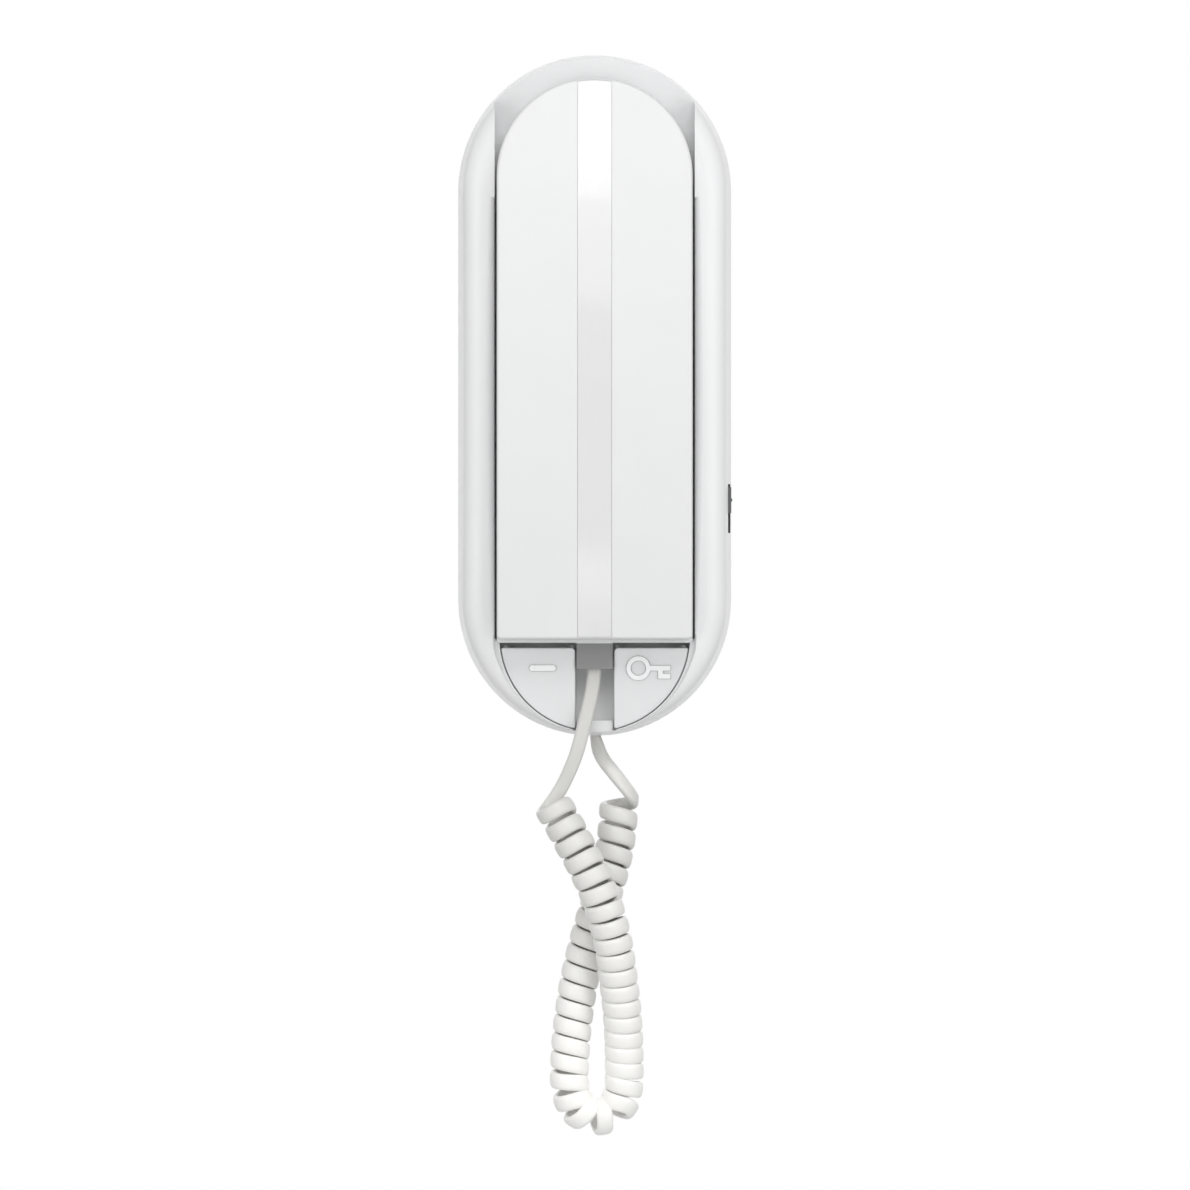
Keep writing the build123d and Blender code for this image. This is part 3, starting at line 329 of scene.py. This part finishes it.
def arc_points(centre_x, centre_z, radius, first, last):
    """Points on an arc, angles in radians from the right."""
    steps = max(round(abs(last - first) / (2 * pi) * circle_steps), 2)
    angles = [first + (last - first) * step / steps for step in range(steps + 1)]
    return [(centre_x + radius * cos(angle), centre_z + radius * sin(angle)) for angle in angles]


def dash_outline():
    """Outline of the dash."""
    radius = dash_width / 2 + sign_spread
    reach = dash_length / 2 - dash_width / 2
    right = arc_points(dash_x + reach, sign_z, radius, -pi / 2, pi / 2)
    return [right + arc_points(dash_x - reach, sign_z, radius, pi / 2, 3 * pi / 2)]


def door_key_outline():
    """Outline of the door key and the hole in its ring."""
    half = shaft_width / 2 + sign_spread
    outer = ring_outer + sign_spread
    open_angle = acos(sqrt(outer * outer - half * half) / outer)
    end_x = shaft_end_x + sign_spread
    foot = tooth_z - half
    whole = arc_points(ring_x, sign_z, outer, open_angle, 2 * pi - open_angle)
    joint_x = tooth_x - sign_spread
    whole += [(joint_x, sign_z - half), (joint_x, foot), (end_x, foot), (end_x, tooth_z + half),
              (joint_x + 2 * half, tooth_z + half), (joint_x + 2 * half, sign_z - half),
              (end_x, sign_z - half), (end_x, sign_z + half)]
    hole = arc_points(ring_x, sign_z, ring_inner - sign_spread, 2 * pi, 0)
    return [whole, hole[:-1]]


def raised_sign(name, outlines, body, sign_material):
    """Sign moulded on a key: flat top, bevelled edges, lying along the key's face."""
    curve = bpy.data.curves.new(name, "CURVE")
    curve.dimensions = "2D"
    curve.fill_mode = "BOTH"
    curve.extrude = (sign_rise + sign_sink) / 2 - sign_bevel
    curve.bevel_depth = sign_bevel
    curve.bevel_resolution = sign_bevel_steps
    curve.offset = -sign_bevel
    for outline in outlines:
        spline = curve.splines.new("POLY")
        spline.points.add(len(outline) - 1)
        for control, (x, z) in zip(spline.points, outline):
            control.co = (x, z - sign_z, 0, 1)
        spline.use_cyclic_u = True
    holder = bpy.data.objects.new(name, curve)
    bm = bmesh.new()
    flat = bpy.data.meshes.new_from_object(holder)
    bm.from_mesh(flat)
    bpy.data.objects.remove(holder)
    bpy.data.curves.remove(curve)
    bpy.data.meshes.remove(flat)
    bmesh.ops.remove_doubles(bm, verts=bm.verts, dist=sign_merge_gap)
    middle = (sign_rise - sign_sink) / 2
    for vertex in bm.verts:
        x, up, out = vertex.co
        depth, lean = arc_frame(key_face_arc, sign_z + up)
        rise = middle + out
        vertex.co = Vector((x, -(depth + rise * cos(lean)), sign_z + up + rise * sin(lean))) * mm
    sign = mesh_object(name, bm, sign_sharp_angle)
    sign.data.materials.append(sign_material)
    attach(sign, body)


# Linings of the cover, in millimetres: the soft flanks along the cheeks' inner edges, the bands round the
# keys and a black sheet of painted shade in the volume knob's slot
crest_arc = [(27.0, 102.2), (33.0, 0.0), (26.0, -102.2)]
flank_high = 59.8
flank_low = -72.0
flank_inner = 30.02
flank_root = 28.2            # depth that the flanks reach down to
flank_slope = 0.532          # widening of the moulded flank for each millimetre above its foot
flank_foot = 28.4
flank_fall = 0.9             # fall of the rounding, for each millimetre of its width
band_inner = 28.6
band_start = 87.0            # degrees from straight down, as band_end is
band_end = 12.9
band_drop = 0.35             # below the keys' face
band_root = 6.0
well_radius = 30.5
well_centre_z = -70.6
key_centre_z = -72.3
slot_shade_inner = 37.1            # x of the painted shade sheet's inner end, its outer edges and the lip between them
slot_shade_outer = 40.6
slot_shade_lip = 40.72
slot_shade_low = 12.45             # depths of its section
slot_shade_lip_depth = 12.6
slot_shade_high = 12.78
slot_shade_top = -26.65            # z of its two ends
slot_shade_bottom = -41.25
lining_overlap = 0.12        # past the edge of the moulded form that it covers
lining_sink = 0.03           # under the moulded face that it meets
lining_steps = 8
lining_sections = 60
lining_sharp_angle = 50
ray_start = -1.0             # Y in metres, well in front of the object


def lining(name, sections, finish):
    """Strip over sections of (x, depth, z) points in millimetres, fixed to the base."""
    strip = skinned(name, [[place(point) for point in section] for section in sections], lining_sharp_angle)
    strip.data.materials.append(finish)
    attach(strip, "base")


def cheek_flank(side):
    """Rounding from the channel's edge to the crest of a cheek."""
    sections = []
    for index in range(lining_sections + 1):
        z = flank_high + (flank_low - flank_high) * index / lining_sections
        crest = arc_frame(crest_arc, z)[0] - lining_sink
        width = (crest - flank_foot) * flank_slope + lining_overlap
        fall = width * flank_fall
        section = []
        for step in range(lining_steps + 1):
            angle = pi / 2 * step / lining_steps
            x = flank_inner + width * (1 - cos(angle))
            section.append((side * x, crest - fall * (1 - sin(angle)), z))
        section.append((side * (flank_inner + width), crest - fall / 2, z))
        section.append((side * flank_inner, flank_root, z))
        sections.append(section)
    lining("cheek_flank_left" if side < 0 else "cheek_flank_right", sections, cover_white)


def key_band(side, cover_depth):
    """Scooped band from the edge of a key up to the cheek."""
    sections = []
    for index in range(lining_sections + 1):
        angle = radians(band_start + (band_end - band_start) * index / lining_sections)
        inner = (band_inner * sin(angle), key_centre_z - band_inner * cos(angle))
        crest = arc_frame(crest_arc, well_centre_z - well_radius * cos(angle))[0]
        reach = well_radius + max(crest - flank_foot, 0) * flank_slope + lining_overlap
        outer = (reach * sin(angle), well_centre_z - reach * cos(angle))
        low = arc_frame(key_face_arc, inner[1])[0] - band_drop
        high = max(cover_depth(side * outer[0], outer[1]) - lining_sink, low)
        section = []
        for step in range(lining_steps + 1):
            turn = pi / 2 * step / lining_steps
            x = inner[0] + (outer[0] - inner[0]) * sin(turn)
            z = inner[1] + (outer[1] - inner[1]) * sin(turn)
            section.append((side * x, low + (high - low) * (1 - cos(turn)), z))
        section.append((side * outer[0], low - band_root, outer[1]))
        section.append((side * inner[0], low - band_root, inner[1]))
        sections.append(section)
    lining("key_band_left" if side < 0 else "key_band_right", sections, cover_white)


def make_linings():
    """Flanks, bands and the black painted shade in the slot, the bands fitted to the front of the moulded
    cover.
    """
    cover = nodes["front_cover"]
    front = BVHTree.FromPolygons([vertex.co for vertex in cover.data.vertices],
                                 [polygon.vertices for polygon in cover.data.polygons])

    def cover_depth(x, z):
        """Depth of the cover's front at a place, in millimetres."""
        hit = front.ray_cast(Vector((x * mm, ray_start, z * mm)), Vector((0, 1, 0)))[0]
        return -hit.y / mm if hit else 0.0

    for side in (-1, 1):
        cheek_flank(side)
        key_band(side, cover_depth)
    # Painted shade: a black sheet deep in the volume knob's slot, where the slot is in shadow
    shade_section = [(slot_shade_inner, slot_shade_low), (slot_shade_outer, slot_shade_low), (slot_shade_lip, slot_shade_lip_depth),
            (slot_shade_outer, slot_shade_high), (slot_shade_inner, slot_shade_high)]
    sections = [[(x, depth, z) for x, depth in shade_section] for z in (slot_shade_top, slot_shade_bottom)]
    lining("slot_painted_shade", sections, black_finish)


# Materials
noise_low_share = 0.3        # a texture keeps mostly between these two
noise_high_share = 0.7
plastic_gloss_spread = 0.04
metal_smoother = 0.06
metal_rougher = 0.08
metal_cloud_share = 0.9
rubber_dust_share = 1.5
wall_facing = -0.8           # Y of the direction that a face has to pass to count as a wall
outlet_shade_top = -74.4 * mm
cord_shade_above = -95 * mm
cord_pale_below = -200 * mm


def finish_nodes(name, colour, roughness, metallic=0.0):
    """New material with its shader, and the place on the object that its textures read."""
    material = bpy.data.materials.new(name)
    material.use_nodes = True
    tree = material.node_tree
    shader = tree.nodes["Principled BSDF"]
    shader.inputs["Base Color"].default_value = (*colour, 1)
    shader.inputs["Roughness"].default_value = roughness
    shader.inputs["Metallic"].default_value = metallic
    where = tree.nodes.new("ShaderNodeTexCoord").outputs["Object"]
    return material, tree, shader, where


def noise(tree, where, scale, detail=3.0):
    """Noise texture of so many grains a metre."""
    texture = tree.nodes.new("ShaderNodeTexNoise")
    texture.inputs["Scale"].default_value = scale
    texture.inputs["Detail"].default_value = detail
    tree.links.new(where, texture.inputs["Vector"])
    return texture.outputs["Fac"]


def ramp(tree, value, low, high):
    """Number that follows a texture between two values."""
    spread = tree.nodes.new("ShaderNodeMapRange")
    spread.inputs["From Min"].default_value = noise_low_share
    spread.inputs["From Max"].default_value = noise_high_share
    spread.inputs["To Min"].default_value = low
    spread.inputs["To Max"].default_value = high
    tree.links.new(value, spread.inputs["Value"])
    return spread.outputs["Result"]


def tinted(tree, shader, value, first, last):
    """Colour that follows a texture between two tones."""
    colours = tree.nodes.new("ShaderNodeMix")
    colours.data_type = "RGBA"
    colours.inputs["A"].default_value = (*first, 1)
    colours.inputs["B"].default_value = (*last, 1)
    tree.links.new(ramp(tree, value, 0.0, 1.0), colours.inputs["Factor"])
    tree.links.new(colours.outputs["Result"], shader.inputs["Base Color"])


def grained(tree, shader, height, depth):
    """Bump from a texture, in metres."""
    bump = tree.nodes.new("ShaderNodeBump")
    bump.inputs["Distance"].default_value = depth
    bump.inputs["Strength"].default_value = 1.0
    tree.links.new(height, bump.inputs["Height"])
    tree.links.new(bump.outputs["Normal"], shader.inputs["Normal"])


def plastic(name, colour, roughness, grain=2600.0, depth=0.010 * mm, tone=0.985, coat=0.0):
    """Moulded plastic: fine spark-eroded grain, faint flow marks in the colour and in the gloss."""
    material, tree, shader, where = finish_nodes(name, colour, roughness)
    flow = noise(tree, where, scale=55.0, detail=2.0)
    tinted(tree, shader, flow, [tone * value for value in colour], colour)
    gloss = ramp(tree, noise(tree, where, scale=320.0), roughness - plastic_gloss_spread,
                 roughness + plastic_gloss_spread)
    tree.links.new(gloss, shader.inputs["Roughness"])
    grained(tree, shader, noise(tree, where, grain), depth)
    shader.inputs["Coat Weight"].default_value = coat
    return material


def part_of(tree, vector, axis):
    """X, Y or Z of a vector."""
    split = tree.nodes.new("ShaderNodeSeparateXYZ")
    tree.links.new(vector, split.inputs["Vector"])
    return split.outputs[axis]


def test(tree, value, operation, limit):
    """One where a value passes its test against a limit, and nought elsewhere."""
    compared = tree.nodes.new("ShaderNodeMath")
    compared.operation = operation
    compared.inputs[1].default_value = limit
    tree.links.new(value, compared.inputs[0])
    return compared.outputs["Value"]


def tinted_where(material, factor, colour):
    """A finish takes on a second colour as far as a factor says."""
    tree = material.node_tree
    base_colour = tree.nodes["Principled BSDF"].inputs["Base Color"]
    held = base_colour.links[0].from_socket
    shade = tree.nodes.new("ShaderNodeMix")
    shade.data_type = "RGBA"
    shade.inputs["B"].default_value = (*colour, 1)
    tree.links.new(factor, shade.inputs["Factor"])
    tree.links.new(held, shade.inputs["A"])
    tree.links.new(shade.outputs["Result"], base_colour)


def painted_shade_below(material, height, colour):
    """Painted shade: the moulding's end below a height, the cord outlet under the handset's front, is
    tinted darker.
    """
    tree = material.node_tree
    z = part_of(tree, tree.nodes["Texture Coordinate"].outputs["Object"], "Z")
    tinted_where(material, test(tree, z, "LESS_THAN", height), colour)


def painted_cord_shade(material, high, low, colour):
    """Cord: painted shade, greyer at its upper end where the base and handset shade it, and paler towards
    its lower end.
    """
    tree = material.node_tree
    share = tree.nodes.new("ShaderNodeMapRange")
    share.inputs["From Min"].default_value = high
    share.inputs["From Max"].default_value = low
    z = part_of(tree, tree.nodes["Texture Coordinate"].outputs["Object"], "Z")
    tree.links.new(z, share.inputs["Value"])
    tinted_where(material, share.outputs["Result"], colour)


def painted_wall_shade(material, colour):
    """Raised sign: painted shade, its walls, which don't face the viewer, are tinted darker."""
    tree = material.node_tree
    facing = tree.nodes.new("ShaderNodeNewGeometry").outputs["True Normal"]
    tinted_where(material, test(tree, part_of(tree, facing, "Y"), "GREATER_THAN", wall_facing), colour)


def metal(name, colour, roughness, stretch=(1, 1, 12), grain=900.0, depth=0.006 * mm):
    """Plated or rolled metal: drawn marks along one direction and cloudy gloss."""
    material, tree, shader, where = finish_nodes(name, colour, roughness, 1.0)
    mapping = tree.nodes.new("ShaderNodeMapping")
    mapping.inputs["Scale"].default_value = stretch
    tree.links.new(where, mapping.inputs["Vector"])
    drawn = noise(tree, mapping.outputs["Vector"], grain)
    clouds = noise(tree, where, scale=180.0)
    tinted(tree, shader, clouds, [metal_cloud_share * value for value in colour], colour)
    gloss = ramp(tree, drawn, roughness - metal_smoother, roughness + metal_rougher)
    tree.links.new(gloss, shader.inputs["Roughness"])
    grained(tree, shader, drawn, depth)
    return material


def board_finish(name):
    """Solder mask over a woven laminate, with the faint lines of buried tracks."""
    material, tree, shader, where = finish_nodes(name, (0.02, 0.12, 0.045), 0.32)
    wave = tree.nodes.new("ShaderNodeTexWave")
    wave.inputs["Scale"].default_value = 160.0
    wave.inputs["Distortion"].default_value = 6.0
    wave.inputs["Detail"].default_value = 1.0
    tree.links.new(where, wave.inputs["Vector"])
    tinted(tree, shader, wave.outputs["Fac"], (0.016, 0.10, 0.036), (0.028, 0.16, 0.06))
    grained(tree, shader, noise(tree, where, scale=1500.0), depth=0.01 * mm)
    return material


def rubber(name, colour, roughness):
    """Soft sealing rubber: matt, faintly dusty."""
    material, tree, shader, where = finish_nodes(name, colour, roughness)
    dust = noise(tree, where, scale=240.0)
    tinted(tree, shader, dust, colour, [rubber_dust_share * value for value in colour])
    grained(tree, shader, noise(tree, where, scale=1800.0), depth=0.02 * mm)
    shader.inputs["Sheen Weight"].default_value = 0.15
    return material


def clear(name):
    """Clear moulded film with a faint haze."""
    material, tree, shader, where = finish_nodes(name, (0.9, 0.92, 0.93), 0.12)
    shader.inputs["Transmission Weight"].default_value = 0.85
    grained(tree, shader, noise(tree, where, scale=900.0), depth=0.006 * mm)
    return material


shell_white = plastic("shell_white", (0.715, 0.717, 0.72), 0.36)
strip_white = plastic("strip_white", (0.685, 0.687, 0.685), 0.10, grain=1500.0, depth=0.002 * mm, coat=0.4)
rear_white = plastic("rear_white", (0.78, 0.785, 0.79), 0.45, depth=0.016 * mm)
# Painted shade: the rear shell's cord outlet, deep under the handset's front, is tinted dark grey
painted_shade_below(rear_white, outlet_shade_top, (0.25, 0.25, 0.25))
cover_white = plastic("cover_white", (0.83, 0.833, 0.837), 0.42)
base_white = plastic("base_white", (0.78, 0.785, 0.79), 0.5, depth=0.02 * mm)
key_white = plastic("key_white", (0.78, 0.785, 0.79), 0.34)
# Painted highlight: the signs, moulded in the keys' plastic, get a paler white than the keys
sign_lit_and_shaded = plastic("sign_lit_and_shaded", (0.94, 0.945, 0.95), 0.3, depth=0.004 * mm)
# Painted shade on the signs' walls
painted_wall_shade(sign_lit_and_shaded, (0.27, 0.275, 0.28))
knob_finish = plastic("knob_finish", (0.10, 0.102, 0.108), 0.42)
grey_finish = plastic("grey_finish", (0.36, 0.365, 0.37), 0.45)
black_finish = plastic("black_finish", (0.022, 0.022, 0.024), 0.42)
terminal_finish = plastic("terminal_finish", (0.12, 0.16, 0.13), 0.42)
# Painted shade on the cord: grey near the handset and base, fading to pale white lower down
cord_white = plastic("cord_painted_shade", (0.60, 0.597, 0.575), 0.38, grain=3400.0, depth=0.006 * mm, tone=0.97)
painted_cord_shade(cord_white, cord_shade_above, cord_pale_below, (0.96, 0.955, 0.93))
board_green = board_finish("board_green")
zinc = metal("zinc", (0.62, 0.62, 0.60), 0.34)
spring_metal = metal("spring_metal", (0.66, 0.65, 0.62), 0.24)
speaker_metal = metal("speaker_metal", (0.42, 0.43, 0.44), 0.36, stretch=(1, 1, 1))
ballast_metal = metal("ballast_metal", (0.26, 0.25, 0.245), 0.55, stretch=(1, 1, 1), grain=400.0,
                      depth=0.03 * mm)
gasket_black = rubber("gasket_black", (0.03, 0.03, 0.032), 0.8)
clear_film = clear("clear_film")

slot_finishes = {
    "shell_plastic": shell_white, "strip_plastic": strip_white, "rear_plastic": rear_white,
    "base_plastic": base_white, "key_plastic": key_white, "knob_grey": knob_finish,
    "grey_plastic": grey_finish, "black_plastic": black_finish, "terminal_grey": terminal_finish,
    "board_green": board_green, "zinc_steel": zinc, "spring_steel": spring_metal,
    "speaker_metal": speaker_metal, "ballast_iron": ballast_metal, "gasket_rubber": gasket_black,
    "clear_plastic": clear_film, "cord_white": cord_white
}


def dress_nodes():
    """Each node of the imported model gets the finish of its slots, and the cover its own white."""
    for node in nodes.values():
        for held in node.material_slots:
            held.material = slot_finishes[held.material.name.split(".")[0]]
    for held in nodes["front_cover"].material_slots:
        held.material = cover_white


# Studio, in metres and watts
ambient_strength = 0.41
floor_half = 0.75
floor_cells = 8
floor_centre = (0, -0.25, -0.30)
floor_sharp_angle = 30
floor_tone = (0.88, 0.88, 0.88)
floor_low_tone = (0.86, 0.86, 0.86)
light_aim = (0, -0.03, -0.02)
# Place, width, height and power of each soft light
soft_lights = {
    "key": ((0.1, -1.0, 0.75), 0.8, 0.6, 6.3),
    "fill_right": ((0.9, -1.25, 0.0), 0.9, 1.2, 6.1),
    "fill_left": ((-0.9, -1.25, 0.0), 0.9, 1.2, 5.3),
    "fill_back": ((0.0, 1.5, 0.2), 1.2, 1.2, 3.5)
}
# Height of the place, height and power of each card that shows only in the gloss
gloss_cards = {
    "gloss_top": (0.351, 0.19, 1.1), "gloss_middle": (0.185, 0.13, 0.3), "gloss_low": (-0.25, 0.07, 0.15)
}
gloss_y = -1.5
gloss_width = 0.5


def area_light(name, place_at, aim, size, size_high, power):
    """Soft rectangular light turned towards a point."""
    data = bpy.data.lights.new(name, "AREA")
    data.shape = "RECTANGLE"
    data.size = size
    data.size_y = size_high
    data.energy = power
    light = bpy.data.objects.new(name, data)
    light.visible_camera = False
    light.location = place_at
    light.rotation_euler = (Vector(aim) - Vector(place_at)).to_track_quat("-Z", "Y").to_euler()
    bpy.context.scene.collection.objects.link(light)
    return light


def make_world():
    """White behind the object and in its reflections, soft and even light on it."""
    world = bpy.data.worlds.new("studio")
    bpy.context.scene.world = world
    world.use_nodes = True
    tree = world.node_tree
    tree.nodes.clear()
    output = tree.nodes.new("ShaderNodeOutputWorld")
    seen = tree.nodes.new("ShaderNodeBackground")
    seen.inputs["Color"].default_value = (1, 1, 1, 1)
    seen.inputs["Strength"].default_value = 1.0
    ambient = tree.nodes.new("ShaderNodeBackground")
    ambient.inputs["Color"].default_value = (1, 1, 1, 1)
    ambient.inputs["Strength"].default_value = ambient_strength
    rays = tree.nodes.new("ShaderNodeLightPath")
    seen_rays = rays.outputs["Is Camera Ray"]
    for other in ("Is Glossy Ray", "Is Transmission Ray"):
        either = tree.nodes.new("ShaderNodeMath")
        either.operation = "MAXIMUM"
        tree.links.new(seen_rays, either.inputs[0])
        tree.links.new(rays.outputs[other], either.inputs[1])
        seen_rays = either.outputs["Value"]
    chosen = tree.nodes.new("ShaderNodeMixShader")
    tree.links.new(seen_rays, chosen.inputs["Fac"])
    tree.links.new(ambient.outputs["Background"], chosen.inputs[1])
    tree.links.new(seen.outputs["Background"], chosen.inputs[2])
    tree.links.new(chosen.outputs["Shader"], output.inputs["Surface"])


def make_floor():
    """Pale floor below the hanging cord."""
    bm = bmesh.new()
    bmesh.ops.create_grid(bm, x_segments=floor_cells, y_segments=floor_cells, size=floor_half)
    bmesh.ops.translate(bm, verts=bm.verts, vec=floor_centre)
    floor = mesh_object("floor", bm, floor_sharp_angle)
    floor_finish, tree, shader, where = finish_nodes("floor_finish", floor_tone, 0.8)
    tinted(tree, shader, noise(tree, where, scale=12.0), floor_low_tone, floor_tone)
    floor.data.materials.append(floor_finish)


def make_studio():
    """World, floor, soft lights from above, both sides and behind, and the cards."""
    make_world()
    make_floor()
    for name, (place_at, wide, high, power) in soft_lights.items():
        area_light(name, place_at, light_aim, wide, high, power)
    for name, (z, high, power) in gloss_cards.items():
        card = area_light(name, (0.0, gloss_y, z), (0, 0, z), gloss_width, high, power)
        card.visible_diffuse = False


make_camera()
make_cords()
raised_sign("light_dash", dash_outline(), "light_button", sign_lit_and_shaded)
raised_sign("door_key_sign", door_key_outline(), "door_button", sign_lit_and_shaded)
make_linings()
dress_nodes()
make_studio()
bpy.context.scene.view_settings.view_transform = "Standard"
